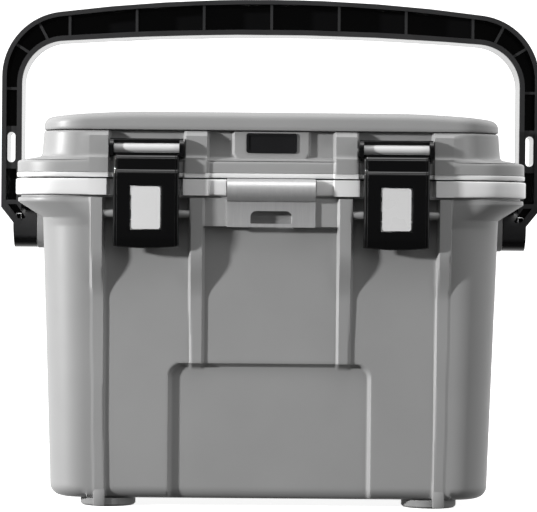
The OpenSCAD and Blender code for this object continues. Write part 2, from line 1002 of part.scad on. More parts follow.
module latch_lever(side) {
  plate = 3;
  wide = lever_w / 2;
  color(black)
    on_side(side)
      difference() {
        union() {
          intersection() {
            translate([latch_x, 0, 0]) through(-150, -130) lever_front();
            difference() {
              across(latch_x - wide, latch_x + wide) lever_side(0);
              across(latch_x - wide + 2.5, latch_x + wide - 2.5)
                difference() {
                  lever_side(plate);
                  square_at(-150, 200, -120, 211);
                }
            }
          }
          for (s = [-1, 1]) {
            x = latch_x + s * 13.9;
            across(x - 1.6, x + 1.6) {
              translate([button_pin_y, button_pin_z]) circle(3.2);
              square_at(-143, button_pin_z - 3.2, button_pin_y, button_pin_z + 3.2);
            }
          }
        }
        bar_x(latch_x - 15.4, latch_x + 15.4, button_pin_y, button_pin_z, 1.5);
        block([latch_x - 12.3, -150, 220.8], [latch_x + 12.3, -140, 255.6]);
      }
}

// two ears that carry the lever on its pin, and the bar over the pin that joins them
module latch_yoke(side) {
  wide = lever_w / 2;
  color(black)
    on_side(side)
      difference() {
        union() {
          for (x = [latch_x - wide - ear_w, latch_x + wide])
            across(x, x + ear_w) {
              translate([latch_y, latch_pivot_z]) circle(7.2);
              polygon([
                [latch_y - 7.2, latch_pivot_z],
                [-140.6, 279.6],
                [lever_back, 279.6],
                [latch_y + 3, latch_pivot_z - 6.5]
              ]);
            }
          across(latch_x - wide, latch_x + wide) top_bar();
        }
        bar_x(latch_x - 40, latch_x + 40, latch_y, latch_pivot_z, pin_r + pin_gap);
      }
}

// bar over the pivot sleeve
module top_bar() {
  translate([latch_y, latch_pivot_z])
    intersection() {
      difference() {
        circle(7.2);
        circle(4.2);
      }
      polygon([[0, 0], [1.5, 9], [-6.3, 9]]);
    }
}

module button_pin(side) {
  color(steel)
    on_side(side) bar_x(latch_x - 15.4, latch_x + 15.4, button_pin_y, button_pin_z, 1.5);
}

// small torsion spring wound round the button pin, as a stack of plain coils
module button_spring(side) {
  pitch = 0.8;
  coils = 5;
  color(steel)
    on_side(side)
      for (i = [0 : coils - 1]) {
        x = latch_x + (i - coils / 2) * pitch;
        difference() {
          bar_x(x, x + pitch - 0.15, button_pin_y, button_pin_z, 2.4);
          bar_x(x - 1, x + 1 + pitch, button_pin_y, button_pin_z, 1.52);
        }
      }
}

module release_button(side) {
  half = button_w / 2;
  front = -144.6;
  color(pale)
    on_side(side)
      difference() {
        union() {
          translate([latch_x, 0, 0])
            through(front, -140.6)
              translate([0, 238.3]) rounded(button_w, 33.6, 2);
          for (s = [-1, 1]) {
            x = latch_x + s * 8.2;
            across(x - 3.4, x + 3.4) {
              translate([button_pin_y, button_pin_z]) circle(3);
              square_at(-141, button_pin_z - 3, button_pin_y, button_pin_z + 3);
              square_at(button_pin_y, button_pin_z - 2.4, -134.4, button_pin_z + 0.6);
            }
          }
        }
        bar_x(latch_x - half - 1, latch_x + half + 1, button_pin_y, button_pin_z, 1.5 + pin_gap);
        bar_x(latch_x - 3, latch_x + 3, button_pin_y, button_pin_z, 2.9);
      }
}

module foot_front_left() { foot(-1, -1); }
module foot_front_right() { foot(1, -1); }
module foot_rear_left() { foot(-1, 1); }
module foot_rear_right() { foot(1, 1); }

outer_shell();
front_ribs();
front_apron();
inner_liner();
base_foam();
rim_frame();
lock_plate();
lock_plate_rivets();
foot_front_left();
foot_front_right();
foot_rear_left();
foot_rear_right();
foot_screws();
keeper_bar(-1);  // keeper_bar_left
keeper_bar(1);  // keeper_bar_right
pivot_hub(-1);  // pivot_hub_left
pivot_hub(1);  // pivot_hub_right
pivot_bolt(-1);  // pivot_bolt_left
pivot_bolt(1);  // pivot_bolt_right
pivot_washer(-1);  // pivot_washer_left
pivot_washer(1);  // pivot_washer_right
hinge_block(-1);  // hinge_block_left
hinge_block(1);  // hinge_block_right
hinge_block_screws();
hinge_pin(-1);  // hinge_pin_left
hinge_pin(1);  // hinge_pin_right
lid_shell();
lid_cap();
lid_liner();
lid_foam();
lid_trim();
lid_gasket();
lid_liner_screws();
name_plate();
latch_bracket(-1);  // latch_bracket_left
latch_bracket(1);  // latch_bracket_right
latch_bracket_screws();
latch_pin(-1);  // latch_pin_left
latch_pin(1);  // latch_pin_right
hinge_strap(-1);  // hinge_strap_left
hinge_strap(1);  // hinge_strap_right
hinge_strap_screws();
handle_frame();
pivot_cap(-1);  // pivot_cap_left
pivot_cap(1);  // pivot_cap_right
latch_lever(-1);  // latch_lever_left
latch_lever(1);  // latch_lever_right
latch_yoke(-1);  // latch_yoke_left
latch_yoke(1);  // latch_yoke_right
button_pin(-1);  // button_pin_left
button_pin(1);  // button_pin_right
button_spring(-1);  // button_spring_left
button_spring(1);  // button_spring_right
release_button(-1);  // release_button_left
release_button(1);  // release_button_right
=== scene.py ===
"""Small hard cooler: the looks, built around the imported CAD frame. Lengths in metres."""

import json
from math import cos, radians, sin, sqrt

import bmesh
import bpy
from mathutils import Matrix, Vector


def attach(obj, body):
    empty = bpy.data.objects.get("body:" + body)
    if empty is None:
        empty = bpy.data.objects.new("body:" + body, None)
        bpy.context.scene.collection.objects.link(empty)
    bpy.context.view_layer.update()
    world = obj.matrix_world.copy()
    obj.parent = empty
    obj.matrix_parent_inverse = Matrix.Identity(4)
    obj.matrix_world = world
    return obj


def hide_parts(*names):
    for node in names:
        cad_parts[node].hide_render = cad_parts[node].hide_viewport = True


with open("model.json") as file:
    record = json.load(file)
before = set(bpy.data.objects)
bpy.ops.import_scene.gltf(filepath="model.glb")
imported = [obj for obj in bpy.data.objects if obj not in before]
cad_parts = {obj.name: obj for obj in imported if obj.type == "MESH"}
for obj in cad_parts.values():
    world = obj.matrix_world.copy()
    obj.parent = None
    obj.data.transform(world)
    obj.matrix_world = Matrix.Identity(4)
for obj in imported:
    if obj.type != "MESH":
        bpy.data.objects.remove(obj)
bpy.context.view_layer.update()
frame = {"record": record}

MM = 0.001


# ---------------------------------------------------------------- materials

class Shader:
    """A principled shader with short ways to add nodes."""

    def __init__(self, name):
        self.material = bpy.data.materials.new(name)
        self.material.use_nodes = True
        self.tree = self.material.node_tree
        self.bsdf = self.tree.nodes["Principled BSDF"]
        self.coords = self.tree.nodes.new("ShaderNodeTexCoord").outputs["Object"]

    def link(self, out, socket):
        self.tree.links.new(out, socket)

    def mapped(self, scale):
        node = self.tree.nodes.new("ShaderNodeMapping")
        node.inputs["Scale"].default_value = scale
        self.link(self.coords, node.inputs["Vector"])
        return node.outputs["Vector"]

    def noise(self, scale, detail=3.0, rough=0.5, stretch=None):
        node = self.tree.nodes.new("ShaderNodeTexNoise")
        node.inputs["Scale"].default_value = scale
        node.inputs["Detail"].default_value = detail
        node.inputs["Roughness"].default_value = rough
        self.link(self.mapped(stretch) if stretch else self.coords, node.inputs["Vector"])
        return node.outputs["Fac"]

    def ramp(self, fac, low, high, start, end):
        node = self.tree.nodes.new("ShaderNodeMapRange")
        for key, value in zip(("From Min", "From Max", "To Min", "To Max"), (start, end, low, high)):
            node.inputs[key].default_value = value
        self.link(fac, node.inputs["Value"])
        return node.outputs["Result"]

    def math(self, kind, a, b):
        node = self.tree.nodes.new("ShaderNodeMath")
        node.operation = kind
        for i, value in enumerate((a, b)):
            if isinstance(value, (int, float)):
                node.inputs[i].default_value = value
            else:
                self.link(value, node.inputs[i])
        return node.outputs[0]

    def mix(self, fac, a, b):
        node = self.tree.nodes.new("ShaderNodeMix")
        node.data_type = "RGBA"
        self.link(fac, node.inputs["Factor"])
        for key, colour in (("A", a), ("B", b)):
            sockets = [s for s in node.inputs if s.name == key and s.type == "RGBA"]
            if isinstance(colour, tuple):
                sockets[0].default_value = (*colour, 1.0)
            else:
                self.link(colour, sockets[0])
        return [s for s in node.outputs if s.type == "RGBA"][0]

    def bump(self, height, strength, distance, under=None):
        node = self.tree.nodes.new("ShaderNodeBump")
        node.inputs["Strength"].default_value = strength
        node.inputs["Distance"].default_value = distance
        self.link(height, node.inputs["Height"])
        if under is not None:
            self.link(under, node.inputs["Normal"])
        return node.outputs["Normal"]


def moulded(name, colour, rough, grain=0.25, grain_mm=0.5, worn=0.03, coat=0.0):
    """Moulded plastic: fine grain, faint flow mottling, a few dull scuffs."""
    s = Shader(name)
    mottle = s.ramp(s.noise(14.0, detail=4.0), 0.0, 1.0, start=0.3, end=0.7)
    dark = tuple(c * 0.96 for c in colour)
    light = tuple(min(1.0, c * 1.03) for c in colour)
    base = s.mix(mottle, dark, light)
    blotches = s.noise(60.0, detail=6.0, rough=0.65, stretch=(1.0, 1.0, 0.25))
    scuffs = s.ramp(blotches, 0.0, 1.0, start=0.62, end=0.78)
    scratches = s.noise(260.0, detail=2.0, rough=0.5, stretch=(0.12, 0.12, 2.2))
    lines = s.ramp(scratches, 0.0, 1.0, start=0.66, end=0.72)
    wear = s.math("MULTIPLY", scuffs, lines)
    scuffed = tuple(min(1.0, c + worn) for c in colour)
    s.link(s.mix(wear, base, scuffed), s.bsdf.inputs["Base Color"])
    varied = s.ramp(s.noise(35.0, detail=4.0), rough - 0.05, rough + 0.05, start=0.3, end=0.7)
    s.link(s.math("ADD", varied, s.math("MULTIPLY", wear, 0.15)), s.bsdf.inputs["Roughness"])
    fine = s.bump(s.noise(1.0 / (grain_mm * MM), detail=2.0, rough=0.6), grain, 0.05 * MM)
    waves = s.bump(s.noise(22.0, detail=2.0), 0.10, 0.6 * MM, under=fine)
    s.link(waves, s.bsdf.inputs["Normal"])
    s.bsdf.inputs["Specular IOR Level"].default_value = 0.5
    if coat:
        s.bsdf.inputs["Coat Weight"].default_value = coat
        s.bsdf.inputs["Coat Roughness"].default_value = 0.12
    return s.material


def handle_plastic():
    """Dark grey moulding on its outer faces and ribs, randomly mottled; within 15 mm of the middle
    plane it is painted black, a painted shade for the deep recess.
    """
    s = Shader("handle_plastic")
    split = s.tree.nodes.new("ShaderNodeSeparateXYZ")
    s.link(s.coords, split.inputs["Vector"])
    depth = s.math("ABSOLUTE", split.outputs["Y"], 0.0)
    # outer is 0 within 15 mm of the middle plane: the recess there is painted black as painted
    # shade, and the faces beyond keep the dark grey
    outer = s.ramp(depth, 0.0, 1.0, start=15.0 * MM, end=17.0 * MM)
    worn = s.ramp(s.noise(40.0, detail=4.0), 0.75, 1.0, start=0.3, end=0.7)
    s.link(s.mix(s.math("MULTIPLY", outer, worn), BLACK, (0.034, 0.034, 0.035)),
           s.bsdf.inputs["Base Color"])
    s.link(s.ramp(outer, 0.16, 0.34, start=0.0, end=1.0), s.bsdf.inputs["Roughness"])
    s.link(s.bump(s.noise(1800.0, detail=2.0, rough=0.6), 0.10, 0.05 * MM), s.bsdf.inputs["Normal"])
    return s.material


def brushed(name, value, rough, along, metal=1.0):
    """Brushed steel with streaks along one direction."""
    s = Shader(name)
    stretch = tuple(0.03 if i == along else 1.0 for i in range(3))
    streaks = s.noise(2600.0, detail=3.0, rough=0.6, stretch=stretch)
    broad = s.noise(500.0, detail=2.0, rough=0.5, stretch=stretch)
    tone = s.math("ADD", s.math("MULTIPLY", streaks, 0.6), s.math("MULTIPLY", broad, 0.4))
    fac = s.ramp(tone, 0.0, 1.0, start=0.35, end=0.65)
    low = tuple(value * k for k in (0.90, 0.90, 0.91))
    high = (value, value, value)
    s.link(s.mix(fac, low, high), s.bsdf.inputs["Base Color"])
    varied = s.ramp(streaks, rough - 0.08, rough + 0.10, start=0.35, end=0.65)
    s.link(varied, s.bsdf.inputs["Roughness"])
    s.bsdf.inputs["Metallic"].default_value = metal
    s.link(s.bump(streaks, 0.35, 0.03 * MM), s.bsdf.inputs["Normal"])
    return s.material


def rubbery(name, value):
    """Dull rubber with a little dust."""
    s = Shader(name)
    dust = s.ramp(s.noise(90.0, detail=5.0), 0.0, 1.0, start=0.45, end=0.8)
    s.link(s.mix(dust, (value,) * 3, (value * 1.1 + 0.015,) * 3), s.bsdf.inputs["Base Color"])
    varied = s.ramp(s.noise(300.0, detail=3.0), 0.62, 0.8, start=0.3, end=0.7)
    s.link(varied, s.bsdf.inputs["Roughness"])
    s.link(s.bump(s.noise(2200.0, detail=2.0), 0.4, 0.05 * MM), s.bsdf.inputs["Normal"])
    return s.material


def cellular(name, colour):
    """Cut rigid foam with small cells."""
    s = Shader(name)
    node = s.tree.nodes.new("ShaderNodeTexVoronoi")
    node.inputs["Scale"].default_value = 900.0
    s.link(s.coords, node.inputs["Vector"])
    cells = node.outputs["Distance"]
    dark = tuple(c * 0.75 for c in colour)
    s.link(s.mix(cells, dark, colour), s.bsdf.inputs["Base Color"])
    s.link(s.ramp(s.noise(50.0), 0.85, 0.95, start=0.3, end=0.7), s.bsdf.inputs["Roughness"])
    s.link(s.bump(cells, strength=0.6, distance=0.2 * MM), s.bsdf.inputs["Normal"])
    return s.material


GREY = (0.335, 0.335, 0.335)
PALE = (0.74, 0.74, 0.74)
BLACK = (0.004, 0.004, 0.0043)

materials = {
    "grey_shell": moulded("grey_moulding", GREY, 0.46, grain=0.30, grain_mm=0.45),
    "dark_grey_plastic": moulded("dark_boss", (0.035, 0.035, 0.036), 0.42, grain=0.4),
    "pale_trim": moulded("pale_moulding", (0.80, 0.80, 0.80), 0.40, grain=0.15, worn=-0.10),
    "pale_button": moulded("pale_button", PALE, 0.30, grain=0.10, worn=-0.08, coat=0.3),
    "white_liner": moulded("liner_white", (0.80, 0.80, 0.79), 0.38, grain=0.12, worn=-0.10),
    "insulation": cellular("rigid_foam", (0.78, 0.70, 0.48)),
    "brushed_plate": brushed("brushed_plate", 0.62, 0.36, along=2, metal=0.45),
    "gasket_rubber": rubbery("soft_rubber", 0.02),
    "foot_rubber": rubbery("grey_rubber", 0.24),
    "black_plastic": moulded("black_gloss", BLACK, 0.12, grain=0.03, grain_mm=0.8, worn=0.01),
    "plate_plastic": moulded("plate_black", (0.012, 0.012, 0.013), 0.34, grain=0.5, grain_mm=0.7),
    "steel_fasteners": brushed("fastener_steel", 0.62, 0.32, along=0),
}

slot_of = {row["node"]: row["material_slot"] for row in frame["record"]["subparts"]}


# ---------------------------------------------------------------- mesh tools

def new_piece(name, verts, faces, body, slot, replaces=(), sharp=38):
    """A mesh piece from millimetre points, with smooth shading up to a crease angle."""
    mesh = bpy.data.meshes.new(name)
    mesh.from_pydata([(x * MM, y * MM, z * MM) for x, y, z in verts], [], faces)
    bm = bmesh.new()
    bm.from_mesh(mesh)
    bmesh.ops.remove_doubles(bm, verts=bm.verts, dist=1e-6)
    bmesh.ops.recalc_face_normals(bm, faces=bm.faces)
    bm.to_mesh(mesh)
    bm.free()
    mesh.polygons.foreach_set("use_smooth", [True] * len(mesh.polygons))
    mesh.set_sharp_from_angle(angle=radians(sharp))
    piece = bpy.data.objects.new(name, mesh)
    bpy.context.scene.collection.objects.link(piece)
    mesh.materials.append(materials[slot])
    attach(piece, body)
    if replaces:
        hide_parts(*replaces)
    return piece


def steps(start, end, size):
    """Evenly spaced values from start to end, both included."""
    count = max(1, round(abs(end - start) / size))
    return [start + (end - start) * i / count for i in range(count + 1)]


def share(value, low, high):
    """How far value is on the way from low to high, kept between 0 and 1."""
    return max(0.0, min(1.0, (value - low) / (high - low)))


def smooth(t):
    """An S-shaped ease from 0 to 1."""
    t = share(t, 0.0, 1.0)
    return t * t * (3 - 2 * t)


def inside(distance, width):
    """1 well inside a feature and 0 outside, over an edge of that width."""
    return smooth(0.5 + distance / width)


def band(value, low, high, width):
    """A feature between two limits, with soft edges."""
    return inside(min(value - low, high - value), width)


def lerp(a, b, t):
    return a + (b - a) * t


def between(low, high, t):
    """A section part of the way from one to another."""
    return [lerp(a, b, t) for a, b in zip(low, high)]


# columns round a case, the same for every row: front, side, back, side, with arcs between them
FRONT_HALF = 144.8
FRONT_X = steps(-FRONT_HALF, FRONT_HALF, 1.1)
SIDE_Y = steps(-80, -28, 6.5) + steps(-26.6, 26.6, 1.4) + steps(28, 80, 6.5)
BACK_X = steps(FRONT_HALF, -FRONT_HALF, 12)
ARC_STEPS = 12


def ring(hw, hd, r, z, front=None, side=None, fore=0.0):
    """One row: a rounded rectangle of half width hw, half depth hd and corner radius r.

    front and side push the front out and the sides in; fore moves both front corners forward."""
    nose = hd + fore
    points = [(-(hw - r), -nose, z)]
    for x in FRONT_X:
        points.append((x, -(hd + (front(x, z, hd) if front else 0.0)), z))
    points.append((hw - r, -nose, z))
    corner(points, hw - r, -(nose - r), r, z, -90)
    for y in SIDE_Y:
        points.append((hw - (side(y, z, hw) if side else 0.0), y, z))
    corner(points, hw - r, hd - r, r, z, 0)
    points += [(hw - r, hd, z)] + [(x, hd, z) for x in BACK_X] + [(-(hw - r), hd, z)]
    corner(points, -(hw - r), hd - r, r, z, 90)
    for y in reversed(SIDE_Y):
        points.append((-hw + (side(y, z, hw) if side else 0.0), y, z))
    corner(points, -(hw - r), -(nose - r), r, z, 180)
    return points


def corner(points, cx, cy, r, z, start):
    """Add a quarter circle's inner points, from the start angle on."""
    for i in range(1, ARC_STEPS):
        a = radians(start + 90 * i / ARC_STEPS)
        points.append((cx + r * cos(a), cy + r * sin(a), z))


def skin(rows, closed=False):
    """Vertices and faces over equal rows; open stacks end in flat faces."""
    n = len(rows[0])
    verts = [p for row in rows for p in row]
    faces = []
    last = len(rows) if closed else len(rows) - 1
    for j in range(last):
        a, b = j * n, ((j + 1) % len(rows)) * n
        faces += [(a + i, a + (i + 1) % n, b + (i + 1) % n, b + i) for i in range(n)]
    if not closed:
        faces.append(tuple(range(n)))
        faces.append(tuple(range((len(rows) - 1) * n, len(rows) * n)))
    return verts, faces


def bevelled_box(low, high, edge=0.5, segments=2):
    """Vertices and faces of a box with rounded edges."""
    bm = bmesh.new()
    bmesh.ops.create_cube(bm, size=1.0)
    for v in bm.verts:
        v.co = Vector([lerp(low[i], high[i], v.co[i] + 0.5) for i in range(3)])
    bmesh.ops.bevel(bm, geom=bm.edges[:], offset=edge, segments=segments, profile=0.5,
                    affect="EDGES", clamp_overlap=True)
    verts = [tuple(v.co) for v in bm.verts]
    faces = [tuple(v.index for v in f.verts) for f in bm.faces]
    bm.free()
    return verts, faces


def joined(*parts):
    """Several (verts, faces) pairs as one."""
    verts, faces = [], []
    for v, f in parts:
        shift = len(verts)
        verts += v
        faces += [tuple(i + shift for i in face) for face in f]
    return verts, faces


# ---------------------------------------------------------------- base shell
# Millimetres. A section is half width, half depth, corner radius and, in a list, height.
# A reach is how far a face stands in front of the middle.

FOOT_H = 6.5
FLARE_Z0, FLARE_KNEE, FLARE_Z1, LIP_Z = 230.3, 243.0, 246.4, 248.4
PIVOT_Z = 224.7
# sections of the wall under the flare and of the flare's rim
WALL = (183.2, 125.5, 34.0)
FLARE = (203.5, 131.0, 39.0)
# how much the wall's section shrinks down to the floor
DRAFT = (7.0, 7.8, 4.5)
BOTTOM_EDGE, LIP_EDGE = 10.0, 1.2
SHELL_BOTTOM = (158.0, 100.0, 18.0)
SHELL_INSIDE = ((168.4, 112.0, 22.0, 14.0), (175.4, 118.5, 28.0, 228.0),
                (196.0, 124.0, 33.0, 246.0), (198.0, 127.0, 35.0, LIP_Z),
                (201.0, 130.0, 38.0, LIP_Z), (201.0, 130.0, 38.0, 246.7))

# the ribs and the front corners stand proud of the wall and run out to a reach near the rim
RIB_PROUD, RIB_REACH, RIB_TAPER = 2.1, 134.0, (166.0, 206.0)
CORNER_PROUD, CORNER_REACH, CORNER_TAPER = 1.7, 131.2, (224.0, 243.0)
# sides of the ribs, where there are two at the floor and at the rim
OUTER_RIB_START, OUTER_RIB_END = (130.8, 132.6), (139.8, 143.6)
INNER_RIB_START, INNER_RIB_END, INNER_RIB_LOW = 53.4, (62.0, 65.2), 112.0
LATCH_BAY, LATCH_BAY_REACH = (64.0, 133.5), 126.3
APRON_HALF, APRON_LOW, APRON_REACH = 54.5, 223.6, 132.0
SLOT_HALF, SLOT_LOW, SLOT_TOP = 17.3, 222.3, 239.8
PANEL_HALF, PANEL_TOP, PANEL_R, PANEL_DEPTH = 79.6, 114.0, 11.0, 4.0
BOSS_R, BOSS_HALF = 21.8, 193.8
LEG_X, LEG_HALF, LEG_Y, LEG_Z = 135.3, 4.6, (-119.6, -104.0), (0.7, 15.0)


def wall_half(z):
    """The drafted wall's section at height z."""
    t = max(0.0, (FLARE_Z0 - z) / (FLARE_Z0 - FOOT_H - BOTTOM_EDGE))
    return [size - shrink * t for size, shrink in zip(WALL, DRAFT)]


def rib_reach(z):
    """Reach of a front rib at height z."""
    return lerp(wall_half(z)[1] + RIB_PROUD, RIB_REACH, smooth(share(z, *RIB_TAPER)))


def corner_reach(z):
    """Reach of the front corners, almost flush with the outer ribs."""
    return lerp(wall_half(z)[1] + CORNER_PROUD, CORNER_REACH, share(z, *CORNER_TAPER))


def round_rect(x, z, half, top, radius):
    """Distance inside an outline that is open below, with two round top corners."""
    dx = abs(x) - (half - radius)
    dz = z - (top - radius)
    if dx > 0 and dz > 0:
        return radius - sqrt(dx * dx + dz * dz)
    return radius - max(dx, dz)


def base_front(x, z, hd):
    """Features on the front of the base: ribs, apron, latch bays, slot bay and sunk panel."""
    ax = abs(x)
    t = share(z, FOOT_H, FLARE_Z1)
    bay = band(ax, *LATCH_BAY, width=2.0) * (z > FLARE_Z0)
    push = bay * (min(hd, LATCH_BAY_REACH) - hd)
    apron = inside(APRON_HALF - ax, width=2.0) * inside(z - APRON_LOW, width=1.6)
    push = lerp(push, APRON_REACH - hd, apron)
    slot = inside(SLOT_HALF - ax, width=1.2) * band(z, SLOT_LOW, SLOT_TOP, width=1.2)
    push = lerp(push, min(0.0, LATCH_BAY_REACH - hd), slot)
    outer_rib = inside(ax - lerp(*OUTER_RIB_START, t), width=1.8)
    inner_rib = band(ax, INNER_RIB_START, lerp(*INNER_RIB_END, t), width=1.8)
    inner_rib *= inside(z - INNER_RIB_LOW, width=3.0)
    push = lerp(push, rib_reach(z) - hd, max(outer_rib, inner_rib))
    push = lerp(push, corner_reach(z) - hd, inside(ax - lerp(*OUTER_RIB_END, t), width=0.8))
    panel = inside(round_rect(x, z, PANEL_HALF, PANEL_TOP, PANEL_R), width=3.4)
    return push - PANEL_DEPTH * panel


def boss_pocket(y, z, hw):
    """Room in the flare for the handle's boss."""
    near = inside(BOSS_R - sqrt(y * y + (z - PIVOT_Z) ** 2), width=1.2)
    return near * max(0.0, hw - BOSS_HALF)


def make_base_shell():
    rows = [ring(*section) for section in SHELL_INSIDE]
    for lean in (90, 60, 30, 0):
        back = LIP_EDGE * (1 - cos(radians(lean)))
        z = FLARE_Z1 - LIP_EDGE * (1 - sin(radians(lean)))
        hd = FLARE[1] - back
        rows.append(ring(FLARE[0] - back, hd, FLARE[2], z, base_front, boss_pocket,
                         corner_reach(FLARE_Z1) - hd))
    for z in steps(FLARE_Z1 - 2.2, FLARE_Z0, 0.9)[:-1]:
        hw, hd, r = between(WALL, FLARE, min(1.0, (z - FLARE_Z0) / (FLARE_KNEE - FLARE_Z0)))
        rows.append(ring(hw, hd, r, z, base_front, boss_pocket, corner_reach(z) - hd))
    bottom = FOOT_H + BOTTOM_EDGE
    for z in steps(FLARE_Z0, bottom, 1.5):
        hw, hd, r = wall_half(z)
        rows.append(ring(hw, hd, r, z, base_front, boss_pocket, corner_reach(z) - hd))
    turns = 8
    for i in range(1, turns + 1):
        a = radians(90 * i / turns)
        back = BOTTOM_EDGE * (1 - cos(a))
        fade = cos(a)
        rows.append(ring(hw - back, hd - back, r - back * 0.7, bottom - BOTTOM_EDGE * sin(a),
                         lambda x, z, d: fade * base_front(x, z, d), None,
                         fade * (corner_reach(bottom) - hd)))
    rows.append(ring(*SHELL_BOTTOM, FOOT_H))
    legs = [bevelled_box((s * LEG_X - LEG_HALF, LEG_Y[0], LEG_Z[0]),
                         (s * LEG_X + LEG_HALF, LEG_Y[1], LEG_Z[1]), edge=1.0)
            for s in (-1, 1)]
    return new_piece("base_shell_moulding", *joined(skin(rows), *legs), "base", "grey_shell",
                     replaces=["outer_shell", "front_ribs", "front_apron"])


# ---------------------------------------------------------------- rim bands

RIM, RIM_TOP, RIM_EDGE = (205.3, 132.5, 40.0), 261.3, 1.3
RIM_SEAT, RIM_LEDGE = (196.0, 121.0, 30.0), 258.3
RIM_INSIDE = ((190.8, 116.3, 26.6, RIM_TOP), (190.0, 115.5, 26.0, 260.6),
              (190.0, 115.5, 26.0, RIM_LEDGE), (*RIM_SEAT, RIM_LEDGE))
RIM_BAY, RIM_BAY_REACH = (70.2, 129.6), 127.0
RIM_BLOCKS, RIM_BLOCK_REACH = ((129.6, 150.4), (49.4, 70.2)), 134.5
PLATE_BAY_HALF, PLATE_BAY_REACH = 35.4, 130.8

LID_BAND, LID_BAND_EDGE = (204.5, 131.5, 39.0), 0.9
LID_BAND_LOW, LID_LOW = 262.5, 266.3
LID_BAND_SEAT = (196.0, 122.0, 32.0)
LID_BLOCKS, LID_BLOCK_REACH = ((129.0, 149.0), (49.8, 69.6)), 133.0


def blocks(ax, sides, width):
    """Where the blocks or pillars of one band are."""
    return max(band(ax, *pair, width) for pair in sides)


def rim_front(x, z, hd):
    """Rim band: blocks on the ribs, bays behind the latches, a bay for the steel plate."""
    ax = abs(x)
    push = band(ax, *RIM_BAY, width=0.9) * (RIM_BAY_REACH - hd)
    push = lerp(push, RIM_BLOCK_REACH - hd, blocks(ax, RIM_BLOCKS, width=0.9))
    return lerp(push, PLATE_BAY_REACH - hd, inside(PLATE_BAY_HALF - ax, width=0.7))


def lid_band_front(x, z, hd):
    """Lid band: blocks under the lid's pillars."""
    return blocks(abs(x), LID_BLOCKS, width=0.9) * (LID_BLOCK_REACH - hd)


def band_rows(section, low, high, edge, front):
    """Outer rows of a band with rounded lower and upper edges."""
    hw, hd, r = section
    rows = []
    for a in (-90, -60, -30, 0):
        rows.append((edge * (1 - cos(radians(a))), low + edge * (1 + sin(radians(a)))))
    for z in steps(low + edge, high - edge, 3)[1:-1]:
        rows.append((0.0, z))
    for a in (0, 30, 60, 90):
        rows.append((edge * (1 - cos(radians(a))), high - edge * (1 - sin(radians(a)))))
    return [ring(hw - back, hd - back, r - back, z, front) for back, z in rows]


def make_rim():
    rows = [ring(*RIM_SEAT, LIP_Z)]
    rows += band_rows(RIM, LIP_Z, RIM_TOP, RIM_EDGE, rim_front)
    rows += [ring(*section) for section in RIM_INSIDE]
    return new_piece("rim_band", *skin(rows, closed=True), "base", "pale_trim",
                     replaces=["rim_frame"])


def make_lid_band():
    rows = [ring(*LID_BAND_SEAT, LID_BAND_LOW)]
    rows += band_rows(LID_BAND, LID_BAND_LOW, LID_LOW, LID_BAND_EDGE, lid_band_front)
    rows += [ring(*LID_BAND_SEAT, LID_LOW)]
    return new_piece("lid_band", *skin(rows, closed=True), "lid", "pale_trim",
                     replaces=["lid_trim"])


# ---------------------------------------------------------------- lid

SEAM_Z = 299.4
LID_INSIDE = ((176.0, 118.0, 28.0, 294.0), (178.0, 120.0, 29.0, 279.0),
              (200.0, 127.5, 35.0, 274.0), (200.5, 128.0, 35.0, LID_LOW))
SKIRT = (204.0, 131.5, 39.0)
# how far the skirt is set back, and at what height
SKIRT_ROWS = ((0.6, LID_LOW), (0.0, 266.6), (0.0, 270.0), (0.0, 273.6))
SKIRT_EDGE, SKIRT_TOP = 2.2, 273.8
SHOULDER = ((201.6, 131.2, 37.5, 276.05), (186.4, 130.9, 34.0, 278.7))
SHOULDER_CORNER = ((184.9, 130.7, 33.0, 279.4), (184.2, 130.7, 33.0, 280.6),
                   (183.8, 130.7, 33.0, 282.2))
LID_WALL = ((183.7, 130.6, 33.0, 283.6), (182.6, 129.9, 33.0, 298.2))
LID_WALL_TOP = ((182.2, 129.5, 32.6, 299.0), (181.6, 128.9, 32.0, SEAM_Z))
SEAM_SECTION, SEAM_LIP = (178.5, 120.5, 30.0), 0.8

# the front between the outer pillars sinks to a lower reach over these heights
LID_FRONT_REACH, LID_FRONT_TAPER = (131.5, 124.0), (276.0, 279.3)
LID_BAY, LID_BAY_REACH, LID_BAY_LOW = (69.2, 128.4), 123.5, 277.5
FIELD_HALF, FIELD_LOW, FIELD_R, FIELD_REACH = 30.5, 277.2, 6.0, 127.0
PILLARS = ((128.4, 147.8), (50.0, 69.2))
PILLAR_REACH, PILLAR_TAPER = (133.5, 132.0), (277.8, 280.2)
PILLAR_LEAN, PILLAR_LEAN_Z = 3.2, 295.6


def lid_front(x, z, hd):
    """Front of the lid: four pillars, two latch bays and the raised field for the plate."""
    ax = abs(x)
    push = min(hd, lerp(*LID_FRONT_REACH, share(z, *LID_FRONT_TAPER))) - hd
    if z > LID_BAY_LOW:
        push = lerp(push, min(hd, LID_BAY_REACH) - hd, band(ax, *LID_BAY, width=1.4))
    field = inside(round_rect(x, -z, FIELD_HALF, -FIELD_LOW, FIELD_R), width=2.0)
    field *= inside(FIELD_HALF - ax, width=2.0)
    push = lerp(push, FIELD_REACH - hd, field)
    reach = lerp(*PILLAR_REACH, smooth(share(z, *PILLAR_TAPER)))
    reach -= PILLAR_LEAN * share(z, PILLAR_LEAN_Z, SEAM_Z)
    return lerp(push, reach - hd, blocks(ax, PILLARS, width=1.6))


